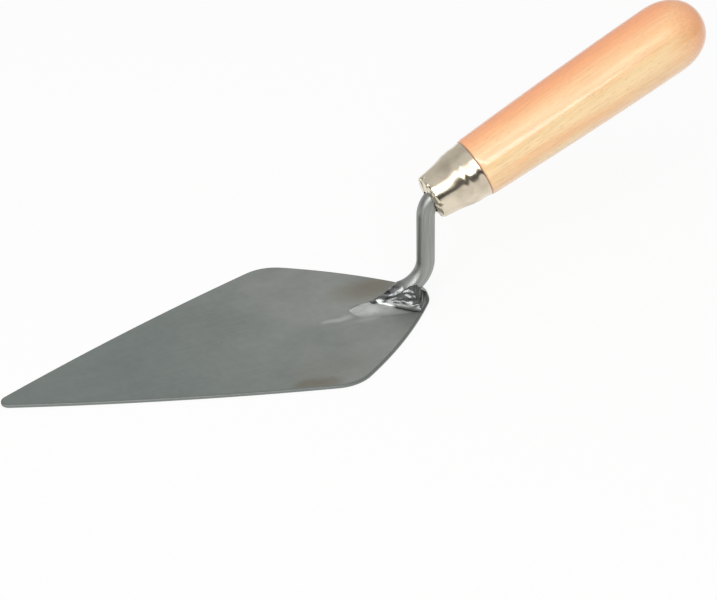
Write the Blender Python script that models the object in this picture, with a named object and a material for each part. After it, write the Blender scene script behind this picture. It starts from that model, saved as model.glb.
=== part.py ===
"""A small brick trowel of the pointing size.

A flat steel blade, a cranked steel shank welded to the blade's heel, and a turned wooden handle
that the shank's tang is driven into, with a plated ferrule round the handle's spigot.

Metres, +Z up. The origin is on the blade's underside, on the centre line, at its widest section.
+X runs from the blade's tip towards the end of the handle, which leans up from the blade.
"""

import math

import bmesh
import bpy
from mathutils import Matrix, Vector

# Blade outline: every stretch of it is an arc, tangent to the next
BLADE_TIP_LENGTH = 0.1040
BLADE_HEEL_LENGTH = 0.0460
BLADE_WIDTH = 0.0784
BLADE_THICKNESS = 0.0012
TIP_RADIUS = 0.0029
SHOULDER_RADIUS = 0.0145
HEEL_RADIUS = 0.0088
LONG_EDGE_RADIUS = 0.94
HEEL_EDGE_RADIUS = 0.175
BLADE_EDGE_ROUND = 0.0003

# Shank: a round rod, tapered to a low foot on the blade, up the neck and into the handle
ROD_DIAMETER = 0.0062
NECK_FROM_HEEL = 0.0004
NECK_RISE = 0.0363
LOWER_BEND_RADIUS = 0.0097
UPPER_BEND_RADIUS = 0.0080
FOOT_LENGTH = 0.0165
FOOT_WIDTH = 0.0032
FOOT_THICKNESS = 0.0012
FOOT_TAPER_LENGTH = 0.0160
FOOT_NOSE_LENGTH = 0.0050
TANG_ROUND_LENGTH = 0.0110
TANG_SQUARING_LENGTH = 0.0060
TANG_SQUARE_LENGTH = 0.0420
TANG_SQUARE = 0.0046
TANG_POINT_SQUARE = 0.0026

# Weld: one mound round the shank's foot, parted along the centre line into two runs
WELD_LENGTH = 0.0290
WELD_FRONT_WIDTH = 0.0080
WELD_SPREAD_FROM_HEEL = 0.0072
WELD_HEIGHT = 0.0044
WELD_FRONT_HEIGHT = 0.0003
WELD_CROWN_FROM_HEEL = 0.0085
WELD_INSET = 0.0003

# Ferrule: a thin cup, measured along the handle's axis from its mouth
HANDLE_ANGLE = math.radians(24.3)
MOUTH_FROM_CRANK = 0.0019
FERRULE_LENGTH = 0.0179
FERRULE_MOUTH_DIAMETER = 0.0151
FERRULE_BREAK_FROM_MOUTH = 0.0120
FERRULE_BREAK_DIAMETER = 0.0198
FERRULE_END_DIAMETER = 0.0214
FERRULE_WALL = 0.0008
FERRULE_MOUTH_ROUND = 0.0012
FERRULE_LIP_DOME = 0.0004
FERRULE_HOLE_CLEARANCE = 0.0011

# Handle: the wood that shows, behind the ferrule
HANDLE_LENGTH = 0.0924
HANDLE_DIAMETER = 0.0248
HANDLE_END_LENGTH = 0.0156
BORE_RELIEF = 0.0015

# Gap left between pieces that touch on the real trowel
FIT_GAP = 0.0003

# Shape exponents: how the foot thins and narrows, how the weld rises from its front, how the wood swells,
# and how square its round end is
FOOT_THINNING = 1.8
FOOT_NARROWING = 1.5
WELD_RISE = 1.3
HANDLE_SWELL = 1.6
HANDLE_END_FULLNESS = 2.2
# A square tang's corners are cut off at this share of its half side
TANG_CORNER = 1.25

# Facets
ROD_SIDES = 20
TURNED_SIDES = 40
BEND_STEPS = 8
FOOT_STEPS = 8
NOSE_STEPS = 5
ARC_STEPS = 8
CUTTER_MARGIN = 0.002
MERGE_DISTANCE = 1e-6
# Facets that meet at less than the first angle are shaded smooth; edges over the second are rounded
SMOOTH_BELOW = math.radians(35)
ROUND_ABOVE = math.radians(60)

# Places that follow from the sizes
ROD_RADIUS = ROD_DIAMETER / 2
BLADE_TOP = BLADE_THICKNESS + FIT_GAP
NECK_X = BLADE_HEEL_LENGTH - NECK_FROM_HEEL
ROD_ON_BLADE_Z = BLADE_TOP + ROD_RADIUS
FOOT_BEND_X = NECK_X - LOWER_BEND_RADIUS
CRANK_TURN = math.pi / 2 - HANDLE_ANGLE
CRANK_TANGENT = UPPER_BEND_RADIUS * math.tan(CRANK_TURN / 2)
HANDLE_AXIS = Vector((math.cos(HANDLE_ANGLE), 0, math.sin(HANDLE_ANGLE)))
CRANK_POINT = Vector((NECK_X, 0, NECK_RISE))


def material(name, colour, roughness, metallic):
    made = bpy.data.materials.new(name)
    made.use_nodes = True
    shader = made.node_tree.nodes["Principled BSDF"]
    shader.inputs["Base Color"].default_value = (*colour, 1)
    shader.inputs["Roughness"].default_value = roughness
    shader.inputs["Metallic"].default_value = metallic
    made.diffuse_color = (*colour, 1)
    return made


def add_object(name, shape, finish=None, smooth_below=None):
    """Puts a bmesh into the scene as a named object, shaded smooth where its facets meet at a small angle."""
    mesh = bpy.data.meshes.new(name)
    bmesh.ops.recalc_face_normals(shape, faces=shape.faces)
    shape.to_mesh(mesh)
    shape.free()
    made = bpy.data.objects.new(name, mesh)
    bpy.context.scene.collection.objects.link(made)
    if finish:
        mesh.materials.append(finish)
    if smooth_below:
        mesh.shade_smooth()
        mesh.set_sharp_from_angle(angle=smooth_below)
    return made


def add_cutter(name, shape):
    """A shape that only cuts others: it isn't a piece of the trowel."""
    cutter = add_object(name, shape)
    cutter.hide_render = True
    cutter.display_type = "WIRE"
    return cutter


def cut(piece, cutter):
    boolean = piece.modifiers.new(cutter.name, "BOOLEAN")
    boolean.operation = "DIFFERENCE"
    boolean.object = cutter


def arc_points(centre, radius, start, end, steps):
    """Points on an arc, from angle start to angle end, both ends included."""
    angles = [start + (end - start) * k / steps for k in range(steps + 1)]
    return [Vector((centre.x + radius * math.cos(a), centre.y + radius * math.sin(a))) for a in angles]


def angle_from(centre, point):
    return math.atan2(point.y - centre.y, point.x - centre.x)


def bowed_edge_centre(first, first_radius, second, second_radius, radius):
    """The centre of a wide arc that two corner circles touch from inside, on the -Y side of both."""
    reach_a, reach_b = radius - first_radius, radius - second_radius
    apart = (second - first).length
    along = (reach_a**2 - reach_b**2 + apart**2) / (2 * apart)
    aside = math.sqrt(reach_a**2 - along**2)
    direction = (second - first) / apart
    side = Vector((direction.y, -direction.x))
    if side.y > 0:
        side = -side
    return first + direction * along + side * aside


# Centres of the blade outline's arcs, on the +Y side
TIP_CENTRE = Vector((TIP_RADIUS - BLADE_TIP_LENGTH, 0))
SHOULDER_CENTRE = Vector((0, BLADE_WIDTH / 2 - SHOULDER_RADIUS))
HEEL_CENTRE = Vector((BLADE_HEEL_LENGTH - HEEL_RADIUS, 0))
LONG_EDGE_CENTRE = bowed_edge_centre(
    TIP_CENTRE, TIP_RADIUS, SHOULDER_CENTRE, SHOULDER_RADIUS, LONG_EDGE_RADIUS
)
HEEL_EDGE_CENTRE = bowed_edge_centre(
    SHOULDER_CENTRE, SHOULDER_RADIUS, HEEL_CENTRE, HEEL_RADIUS, HEEL_EDGE_RADIUS
)


def half_outline():
    """The blade's edge on the +Y side, from the middle of the tip to the middle of the heel."""
    tip_turn = angle_from(LONG_EDGE_CENTRE, TIP_CENTRE)
    long_turn = angle_from(LONG_EDGE_CENTRE, SHOULDER_CENTRE)
    shoulder_turn = angle_from(HEEL_EDGE_CENTRE, SHOULDER_CENTRE)
    heel_turn = angle_from(HEEL_EDGE_CENTRE, HEEL_CENTRE)
    stretches = [
        (TIP_CENTRE, TIP_RADIUS, math.pi, tip_turn),
        (LONG_EDGE_CENTRE, LONG_EDGE_RADIUS, tip_turn, long_turn),
        (SHOULDER_CENTRE, SHOULDER_RADIUS, long_turn, shoulder_turn),
        (HEEL_EDGE_CENTRE, HEEL_EDGE_RADIUS, shoulder_turn, heel_turn),
        (HEEL_CENTRE, HEEL_RADIUS, heel_turn, 0),
    ]
    points = []
    for centre, radius, start, end in stretches:
        points += arc_points(centre, radius, start, end, ARC_STEPS)[:-1]
    return points + [Vector((BLADE_HEEL_LENGTH, 0))]


def heel_half_width(x, inset):
    """Half the blade's width at x, behind the shoulders, to a line that runs inset inside its edge."""
    tangent_x = HEEL_CENTRE.x + HEEL_RADIUS * math.cos(angle_from(HEEL_EDGE_CENTRE, HEEL_CENTRE))
    if x > tangent_x:
        return math.sqrt(max((HEEL_RADIUS - inset) ** 2 - (x - HEEL_CENTRE.x) ** 2, 0))
    reach = HEEL_EDGE_RADIUS - inset
    return HEEL_EDGE_CENTRE.y + math.sqrt(reach**2 - (x - HEEL_EDGE_CENTRE.x) ** 2)


def build_blade(finish):
    upper = half_outline()
    lower = [Vector((p.x, -p.y)) for p in reversed(upper[1:-1])]
    shape = bmesh.new()
    under = shape.faces.new([shape.verts.new((p.x, p.y, 0)) for p in upper + lower])
    raised = bmesh.ops.extrude_face_region(shape, geom=[under])["geom"]
    corners = [v for v in raised if isinstance(v, bmesh.types.BMVert)]
    bmesh.ops.translate(shape, verts=corners, vec=(0, 0, BLADE_THICKNESS))
    blade = add_object("blade", shape, finish)
    rounding = blade.modifiers.new("edge_round", "BEVEL")
    rounding.width = min(BLADE_EDGE_ROUND, BLADE_THICKNESS / 3)
    rounding.segments = 2
    rounding.limit_method = "ANGLE"
    rounding.angle_limit = ROUND_ABOVE
    return blade


def square_reach(angle):
    """How far a unit square with cut corners reaches at an angle."""
    return min(1 / max(abs(math.cos(angle)), abs(math.sin(angle))), TANG_CORNER)


def section(centre, heading, half_width, half_height, squareness=0.0, floor=None):
    """One cross-section of a piece that lies in the XZ plane and points along heading.

    It is an ellipse, or a square as squareness goes to 1. What would lie under the floor is pressed
    flat on it.
    """
    up = Vector((-math.sin(heading), 0, math.cos(heading)))
    ring = []
    for k in range(ROD_SIDES):
        angle = 2 * math.pi * (k + 0.5) / ROD_SIDES
        reach = 1 + (square_reach(angle) - 1) * squareness
        point = centre + up * (half_height * reach * math.sin(angle))
        point.y += half_width * reach * math.cos(angle)
        if floor is not None:
            point.z = max(point.z, floor)
        ring.append(point)
    return ring


def loft(rings):
    """A closed solid through cross-sections that have the same number of points."""
    shape = bmesh.new()
    rows = [[shape.verts.new(p) for p in ring] for ring in rings]
    for row, after in zip(rows, rows[1:]):
        for k in range(len(row)):
            shape.faces.new((row[k - 1], row[k], after[k], after[k - 1]))
    shape.faces.new(rows[0])
    shape.faces.new(rows[-1])
    return shape


def foot_stations():
    """Distances in front of the bend: close together round the nose, then even along the rest."""
    nose_start = FOOT_LENGTH - FOOT_NOSE_LENGTH
    turns = [math.pi / 2 * (1 - (k + 0.5) / NOSE_STEPS) for k in range(NOSE_STEPS)]
    nose = [nose_start + FOOT_NOSE_LENGTH * math.sin(a) for a in turns]
    return nose + [nose_start * (1 - k / FOOT_STEPS) for k in range(FOOT_STEPS)]


def foot_sections(grow, floor):
    """The tapered foot, from its round nose to where the rod begins to bend up."""
    rings = []
    for forward in foot_stations():
        still_round = 1 - min(forward / FOOT_TAPER_LENGTH, 1)
        past = max(forward - (FOOT_LENGTH - FOOT_NOSE_LENGTH), 0) / FOOT_NOSE_LENGTH
        nose = math.sqrt(1 - past**2)
        top = (FOOT_THICKNESS + (ROD_DIAMETER - FOOT_THICKNESS) * still_round**FOOT_THINNING) * nose
        middle = ROD_RADIUS * still_round**2
        half_foot = FOOT_WIDTH / 2
        half_width = (half_foot + (ROD_RADIUS - half_foot) * still_round**FOOT_NARROWING) * nose
        centre = Vector((FOOT_BEND_X - forward, 0, BLADE_TOP + middle))
        rings.append(section(centre, 0, half_width + grow, top - middle + grow, floor=floor))
    return rings


def lower_bend_sections(grow):
    """The quarter turn from along the blade to straight up."""
    rings = []
    for k in range(BEND_STEPS + 1):
        heading = math.pi / 2 * k / BEND_STEPS
        centre = Vector((FOOT_BEND_X, 0, ROD_ON_BLADE_Z + LOWER_BEND_RADIUS))
        centre += LOWER_BEND_RADIUS * Vector((math.sin(heading), 0, -math.cos(heading)))
        rings.append(section(centre, heading, ROD_RADIUS + grow, ROD_RADIUS + grow))
    return rings


def upper_bend_sections():
    """The turn from straight up to along the handle."""
    rings = []
    turning = Vector((NECK_X + UPPER_BEND_RADIUS, 0, NECK_RISE - CRANK_TANGENT))
    for k in range(BEND_STEPS + 1):
        turned_by = CRANK_TURN * k / BEND_STEPS
        centre = turning + UPPER_BEND_RADIUS * Vector((-math.cos(turned_by), 0, math.sin(turned_by)))
        rings.append(section(centre, math.pi / 2 - turned_by, ROD_RADIUS, ROD_RADIUS))
    return rings


def tang_sections():
    """The tang along the handle's axis: round, then a square that tapers to its end."""
    square_start = TANG_ROUND_LENGTH + TANG_SQUARING_LENGTH
    stations = [
        (TANG_ROUND_LENGTH, ROD_RADIUS, 0),
        (square_start, TANG_SQUARE / 2, 1),
        (square_start + TANG_SQUARE_LENGTH, TANG_POINT_SQUARE / 2, 1),
    ]
    return [
        section(CRANK_POINT + HANDLE_AXIS * (CRANK_TANGENT + along), HANDLE_ANGLE, half, half, squareness)
        for along, half, squareness in stations
    ]


def build_shank(finish):
    rings = foot_sections(0, BLADE_TOP) + lower_bend_sections(0) + upper_bend_sections() + tang_sections()
    return add_object("shank", loft(rings), finish, SMOOTH_BELOW)


def weld_half_width(x):
    """Half the weld's width at x: it fans out from the rod, then follows the heel's edge."""
    front_x = BLADE_HEEL_LENGTH - WELD_LENGTH
    spread_x = BLADE_HEEL_LENGTH - WELD_SPREAD_FROM_HEEL
    if x >= spread_x:
        return heel_half_width(x, WELD_INSET)
    share = (x - front_x) / (spread_x - front_x)
    return WELD_FRONT_WIDTH / 2 + (heel_half_width(spread_x, WELD_INSET) - WELD_FRONT_WIDTH / 2) * share


def weld_mound():
    """The whole mound of weld, as if the rod weren't there: half-round sections across the heel."""
    front_x = BLADE_HEEL_LENGTH - WELD_LENGTH
    crown_x = BLADE_HEEL_LENGTH - WELD_CROWN_FROM_HEEL
    end_x = BLADE_HEEL_LENGTH - WELD_INSET
    rings = []
    for k in range(ARC_STEPS):
        share = k / ARC_STEPS
        x = front_x + (crown_x - front_x) * share
        height = WELD_FRONT_HEIGHT + (WELD_HEIGHT - WELD_FRONT_HEIGHT) * share**WELD_RISE
        rings.append(section(Vector((x, 0, BLADE_TOP)), 0, weld_half_width(x), height, floor=BLADE_TOP))
    for k in range(ARC_STEPS):
        share = math.sin(math.pi / 2 * k / ARC_STEPS)
        x = crown_x + (end_x - crown_x) * share
        height = WELD_HEIGHT * math.sqrt(1 - share**2)
        rings.append(section(Vector((x, 0, BLADE_TOP)), 0, weld_half_width(x), height, floor=BLADE_TOP))
    return loft(rings)


def build_weld_beads(finish):
    """Two runs of weld, one on each side of the centre line, both clear of the rod that they hold."""
    neck_clear = Vector((NECK_X, 0, NECK_RISE - CRANK_TANGENT))
    reach = ROD_RADIUS + FIT_GAP
    rod_rings = foot_sections(FIT_GAP, None) + lower_bend_sections(FIT_GAP)
    rod_cutter = add_cutter("rod_cutter", loft(rod_rings + [section(neck_clear, math.pi / 2, reach, reach)]))
    beads = []
    for name, side in (("weld_bead_left", 1), ("weld_bead_right", -1)):
        bead = add_object(name, weld_mound(), finish, SMOOTH_BELOW)
        cut(bead, rod_cutter)
        half = bmesh.new()
        size = Vector((WELD_LENGTH, BLADE_WIDTH, WELD_HEIGHT + CUTTER_MARGIN)) * 2
        place = Vector((NECK_X, side * (FIT_GAP - BLADE_WIDTH * 2) / 2, BLADE_TOP))
        bmesh.ops.create_cube(half, matrix=Matrix.LocRotScale(place, None, size))
        cut(bead, add_cutter(name + "_half_cutter", half))
        beads.append(bead)
    return beads


def turned(name, profile, closed, finish, axis):
    """A solid turned round the handle's axis from (radius, distance along the axis) points."""
    shape = bmesh.new()
    verts = [shape.verts.new((radius, 0, along)) for radius, along in profile]
    edges = [shape.edges.new(pair) for pair in zip(verts, verts[1:])]
    if closed:
        edges.append(shape.edges.new((verts[-1], verts[0])))
    bmesh.ops.spin(
        shape, geom=verts + edges, cent=(0, 0, 0), axis=(0, 0, 1), angle=2 * math.pi, steps=TURNED_SIDES
    )
    bmesh.ops.remove_doubles(shape, verts=shape.verts, dist=MERGE_DISTANCE)
    made = add_object(name, shape, finish, SMOOTH_BELOW)
    made.parent = axis
    return made


def add_handle_axis():
    """An empty at the ferrule's mouth whose +Z runs along the handle."""
    axis = bpy.data.objects.new("handle_axis", None)
    bpy.context.scene.collection.objects.link(axis)
    axis.location = CRANK_POINT + HANDLE_AXIS * MOUTH_FROM_CRANK
    axis.rotation_euler = (0, CRANK_TURN, 0)
    return axis


def rod_reach(along):
    """How far the rod's surface gets from the handle's axis, at a distance from the ferrule's mouth."""
    before_straight = max(CRANK_TANGENT - MOUTH_FROM_CRANK - along, 0)
    lean = math.asin(min(before_straight / UPPER_BEND_RADIUS, 1))
    drop = UPPER_BEND_RADIUS * (1 - math.cos(lean))
    return drop + ROD_RADIUS / math.cos(lean)


def ferrule_radius(along):
    """The ferrule's outer radius: a cone, then a part that tapers less."""
    if along < FERRULE_BREAK_FROM_MOUTH:
        share = along / FERRULE_BREAK_FROM_MOUTH
        return (FERRULE_MOUTH_DIAMETER + (FERRULE_BREAK_DIAMETER - FERRULE_MOUTH_DIAMETER) * share) / 2
    share = (along - FERRULE_BREAK_FROM_MOUTH) / (FERRULE_LENGTH - FERRULE_BREAK_FROM_MOUTH)
    return (FERRULE_BREAK_DIAMETER + (FERRULE_END_DIAMETER - FERRULE_BREAK_DIAMETER) * share) / 2


def build_ferrule(finish, axis):
    hole = rod_reach(-FERRULE_LIP_DOME) + FERRULE_HOLE_CLEARANCE
    corner = FERRULE_MOUTH_ROUND
    corner_centre = Vector((ferrule_radius(corner) - corner, corner))
    outer = [(hole, -FERRULE_LIP_DOME)]
    outer += [tuple(p) for p in arc_points(corner_centre, corner, -math.pi / 2, 0, ARC_STEPS // 2)]
    outer += [(ferrule_radius(z), z) for z in (FERRULE_BREAK_FROM_MOUTH, FERRULE_LENGTH)]
    inner = [
        (ferrule_radius(z) - FERRULE_WALL, z)
        for z in (FERRULE_LENGTH, FERRULE_BREAK_FROM_MOUTH, FERRULE_WALL)
    ]
    inner.append((hole, FERRULE_WALL - FERRULE_LIP_DOME))
    return turned("ferrule", outer + inner, True, finish, axis)


def handle_outline():
    """The wood that shows, from the ferrule to the middle of the round end."""
    start = FERRULE_LENGTH + FIT_GAP
    widest = FERRULE_LENGTH + HANDLE_LENGTH - HANDLE_END_LENGTH
    joint_radius, widest_radius = FERRULE_END_DIAMETER / 2, HANDLE_DIAMETER / 2
    points = []
    for k in range(ARC_STEPS):
        share = k / ARC_STEPS
        swell = (widest_radius - joint_radius) * (1 - (1 - share) ** HANDLE_SWELL)
        points.append((joint_radius + swell, start + (widest - start) * share))
    power = 2 / HANDLE_END_FULLNESS
    for k in range(ARC_STEPS):
        turn = math.pi / 2 * k / ARC_STEPS
        past_widest = HANDLE_END_LENGTH * math.sin(turn) ** power
        points.append((widest_radius * math.cos(turn) ** power, widest + past_widest))
    return points + [(0, FERRULE_LENGTH + HANDLE_LENGTH)]


def build_handle(finish, axis):
    spigot_end = FERRULE_WALL + FIT_GAP
    square_start = CRANK_TANGENT - MOUTH_FROM_CRANK + TANG_ROUND_LENGTH + TANG_SQUARING_LENGTH
    bore_end = square_start + TANG_SQUARE_LENGTH + BORE_RELIEF
    round_bore = rod_reach(spigot_end) + FIT_GAP
    tang_bore = TANG_SQUARE / 2 * TANG_CORNER + FIT_GAP
    bore = [(0, bore_end), (tang_bore, bore_end), (tang_bore, square_start), (round_bore, square_start)]
    spigot = [
        (ferrule_radius(z) - FERRULE_WALL - FIT_GAP, z)
        for z in (spigot_end, FERRULE_BREAK_FROM_MOUTH, FERRULE_LENGTH + FIT_GAP)
    ]
    profile = bore + [(round_bore, spigot_end)] + spigot + handle_outline()
    return turned("handle", profile, False, finish, axis)


def main():
    for leftover in list(bpy.data.objects):
        bpy.data.objects.remove(leftover)
    blade_steel = material("blade_steel", (0.20, 0.21, 0.20), 0.42, 1.0)
    shank_steel = material("shank_steel", (0.27, 0.28, 0.27), 0.30, 1.0)
    weld_steel = material("weld_steel", (0.24, 0.25, 0.25), 0.25, 1.0)
    ferrule_nickel = material("ferrule_nickel", (0.55, 0.51, 0.45), 0.22, 1.0)
    handle_wood = material("handle_wood", (0.80, 0.48, 0.24), 0.35, 0.0)
    build_blade(blade_steel)
    build_shank(shank_steel)
    build_weld_beads(weld_steel)
    axis = add_handle_axis()
    build_ferrule(ferrule_nickel, axis)
    build_handle(handle_wood, axis)


main()
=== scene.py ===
"""Finished surfaces, materials and studio stage of a small brick trowel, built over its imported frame.

Laid out as an add-on: property groups hold the sizes and colours, one operator makes each piece or group of
pieces, and main() runs them in order. Metres, +Z up, in the frame's own coordinates: the blade lies on Z = 0
with its widest section at X = 0, its tip towards -X and the handle towards +X.
"""

import math
from functools import partial

import bmesh
import bpy
import numpy as np
from bpy.props import FloatProperty, FloatVectorProperty, IntProperty, PointerProperty
from mathutils import Matrix, Quaternion, Vector


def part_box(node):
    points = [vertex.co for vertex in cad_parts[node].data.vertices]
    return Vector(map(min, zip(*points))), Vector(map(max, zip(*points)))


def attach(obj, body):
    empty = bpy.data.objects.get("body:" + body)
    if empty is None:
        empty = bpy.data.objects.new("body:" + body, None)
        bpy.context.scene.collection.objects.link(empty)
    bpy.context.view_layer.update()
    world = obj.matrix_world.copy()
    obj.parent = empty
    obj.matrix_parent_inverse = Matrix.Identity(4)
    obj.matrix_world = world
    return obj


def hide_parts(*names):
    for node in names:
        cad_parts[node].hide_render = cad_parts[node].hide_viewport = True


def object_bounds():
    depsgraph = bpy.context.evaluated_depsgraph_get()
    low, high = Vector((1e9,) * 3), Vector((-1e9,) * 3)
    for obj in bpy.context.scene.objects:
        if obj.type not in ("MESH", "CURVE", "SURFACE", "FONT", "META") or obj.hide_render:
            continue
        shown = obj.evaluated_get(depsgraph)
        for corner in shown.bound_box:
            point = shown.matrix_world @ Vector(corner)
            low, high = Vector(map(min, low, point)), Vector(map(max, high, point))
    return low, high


bl_info = {
    "name": "Pointing trowel",
    "version": (1, 0, 0),
    "blender": (4, 5, 0),
    "location": "3D View > Sidebar > Trowel",
    "description": "Makes the finished pieces of a small brick trowel and a studio stage to show it on",
    "category": "Object",
}

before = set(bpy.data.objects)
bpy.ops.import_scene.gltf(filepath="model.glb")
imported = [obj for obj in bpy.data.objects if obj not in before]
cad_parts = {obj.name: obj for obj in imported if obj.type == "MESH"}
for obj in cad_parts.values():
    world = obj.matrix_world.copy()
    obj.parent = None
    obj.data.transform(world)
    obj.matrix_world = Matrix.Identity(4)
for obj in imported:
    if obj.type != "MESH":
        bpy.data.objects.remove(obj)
CAD_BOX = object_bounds()
BLADE_LOW, BLADE_HIGH = [Vector(corner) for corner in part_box("blade")]
FOOT_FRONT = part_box("shank")[0][0]

# How far a piece that is welded on sinks into the blade, so that no gap shows round it
WELD_SINK = 0.00005
# The floor lies this far under the blade, so that the two never share a plane
FLOOR_DROP = 0.00002
# Sheared edges of pressed sheet are broken by this much
EDGE_BREAK = 0.0001
# Points nearer than this are one point: poles, seams and the blade's middle line
MERGE_DISTANCE = 1e-7
# Faces that meet at more than this show a sharp edge, on sheet and wood and on the rod
SHARP_EDGE, SHARP_ROD = math.radians(50), math.radians(60)
# A quarter turn, in radians
QUARTER = math.pi / 2

# Points of the grids, enough that no facet shows: on the blade's five arcs, its edge's rounding and its faces
BLADE_ARC_POINTS = (14, 60, 26, 36, 20)
BLADE_ROUND_POINTS = 5
BLADE_UNDER_SHARES = (1, 0.6, 0.25)
BLADE_TOP_ROWS = 9
# The same for the other pieces: points round each, and rows along its parts
SHANK_ROUND, FOOT_ROWS, BEND_ROWS = 72, 80, 28
WELD_ROUND, WELD_FRONT_ROWS, WELD_REAR_ROWS = 220, 150, 70
FERRULE_ROUND, LIP_ROWS, CORNER_ROWS, CONE_ROWS, INSIDE_ROWS = 240, 10, 14, 90, 20
HANDLE_ROUND, SEAT_ROWS, FRONT_ROWS, GRIP_ROWS, CAP_ROWS = 128, 12, 12, 70, 44

# Pitches of the smooth waves that make a surface uneven, and the seed of their directions
FOOT_WAVES = (0.0017, 0.0023, 0.0031, 0.0042), 7
SMEAR_WAVES = (0.0028, 0.0041, 0.0057), 9
RIDGE_WAVES = (0.0052, 0.0071, 0.0093), 3
FERRULE_WAVES = (0.0040, 0.0060, 0.0090), 5

# A Map Range node's list is the value, then from low, from high, to low and to high. Noise mostly lies
# between these two.
NOISE = 0.3, 0.7
# Settings that many nodes share: mixing colours, easing between two values, and counting in units of a size
COLOURS = {"data_type": "RGBA"}
EASED = {"interpolation_type": "SMOOTHSTEP"}
IN_UNITS = {"vector_type": "TEXTURE"}


def linear(hex_colour):
    """Linear RGBA from an sRGB hex value: c / 12.92 up to 0.04045, ((c + 0.055) / 1.055) ** 2.4 above it."""
    channels = [int(hex_colour[k : k + 2], 16) / 255 for k in (1, 3, 5)]
    return (*[c / 12.92 if c <= 0.04045 else ((c + 0.055) / 1.055) ** 2.4 for c in channels], 1.0)


# Kinds of setting, which named() makes with their names
def length(description, default):
    return partial(FloatProperty, description=description, default=default, unit="LENGTH", precision=5)


def turn(description, degrees):
    return partial(FloatProperty, description=description, default=math.radians(degrees), subtype="ANGLE")


def plain(description, default):
    return partial(FloatProperty, description=description, default=default)


def span(description, low, high):
    return partial(FloatVectorProperty, description=description, default=(low, high), size=2)


def power(description, watts):
    return partial(FloatProperty, description=description, default=watts, unit="POWER")


def tint(description, hex_colour):
    settings = {"default": linear(hex_colour), "size": 4, "min": 0, "max": 1, "subtype": "COLOR"}
    return partial(FloatVectorProperty, description=description, **settings)


def named(group):
    """Makes a group's settings, each with a name that is its key in words."""
    for key, setting in group.__annotations__.items():
        group.__annotations__[key] = setting(name=key.replace("_", " ").capitalize())
    return group


@named
class BladeSettings(bpy.types.PropertyGroup):
    """The flat steel blade."""

    tip_radius: length("Rounding of the point", 0.0029)
    shoulder_radius: length("Rounding of the widest corners", 0.0145)
    heel_radius: length("Rounding of the heel", 0.0088)
    long_edge_radius: length("Radius of the slightly bowed long edges", 0.94)
    heel_edge_radius: length("Radius of the bowed heel edges", 0.175)
    ground_width: length("Width of the ground band along the upper edge", 0.0005)
    ground_drop: length("How far the ground band falls away", 0.00012)
    ground_fade: length("Width over which the band's grey fades into the face", 0.0003)
    edge_round: length("Rounding of the edges", 0.0003)
    steel: tint("The blade's mid grey towards the tip", "#929a96")
    steel_warm: tint("The paler, warmer grey towards the heel", "#b2b3af")
    steel_dark: tint("The darker grey of the mottling", "#8b928f")
    steel_edge: tint("The dull grey of the sheared and ground edge", "#8a8f8c")
    # Pale streaks in front of the weld, paler than the blade's grey
    steel_rubbed: tint("Pale streaks rubbed bright in front of the weld", "#d2d8d2")
    heat_tint: tint("Olive tint left by heat beside the weld", "#7a7156")
    rust_tint: tint("Brown tint of old oil at the near shoulder", "#7c6b4c")
    rough: span("Least and most roughness of the faces", 0.36, 0.48)
    edge_rough: plain("Roughness of the edge", 0.55)


@named
class ShankSettings(bpy.types.PropertyGroup):
    """The bent steel rod: a tapered foot on the blade, the neck, and the tang in the handle."""

    diameter: length("Diameter of the round rod", 0.0062)
    neck_from_heel: length("The neck's axis in front of the heel's end", 0.0004)
    neck_rise: length("Height where the neck's axis meets the handle's axis", 0.0363)
    lower_bend: length("Radius of the bend at the blade", 0.0097)
    upper_bend: length("Radius of the bend at the ferrule", 0.0080)
    foot_thickness: length("Thickness of the foot's thin end", 0.0009)
    foot_half_width: length("Half width of the foot's thin end", 0.0016)
    foot_taper: length("Length over which the rod tapers, in front of the bend", 0.0160)
    foot_nose: length("Length of the foot's pointed nose", 0.0050)
    foot_lumps: length("How far spatter stands up on the foot", 0.00022)
    thinning: plain("Exponent of the foot's thinning: 1 is a wedge", 1.8)
    narrowing: plain("Exponent of the foot's narrowing: 1 is a wedge", 1.5)
    clearance: length("The frame's gap between the rod and the blade", 0.0003)
    tang_round: length("Length of the tang that stays round", 0.0110)
    tang_squaring: length("Length over which the tang turns square", 0.0060)
    tang_square: length("Half side of the tang's square", 0.0023)
    tang_point: length("Half side of the tang's end", 0.0013)
    tang_corner: plain("How far the square's blunt corners reach, over its half side", 1.25)
    tang_length: length("Length of the square tang", 0.0420)
    heat_behind: length("Where the heat colours end, behind the bend's start", 0.0020)
    heat_ahead: length("Where the heat colours are full, in front of the bend's start", 0.0030)
    steel: tint("Bright drawn bar", "#a4a6a2")
    steel_dark: tint("Darker streaks along the bar", "#888a86")
    steel_heat: tint("Grey of the foot, beside the weld", "#8a8b8c")
    steel_soot: tint("Dark patches on the foot, beside the weld", "#3f4243")
    rough: span("Least and most roughness of the bar", 0.36, 0.50)
    heat_rough: plain("Roughness of the foot", 0.27)


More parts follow.
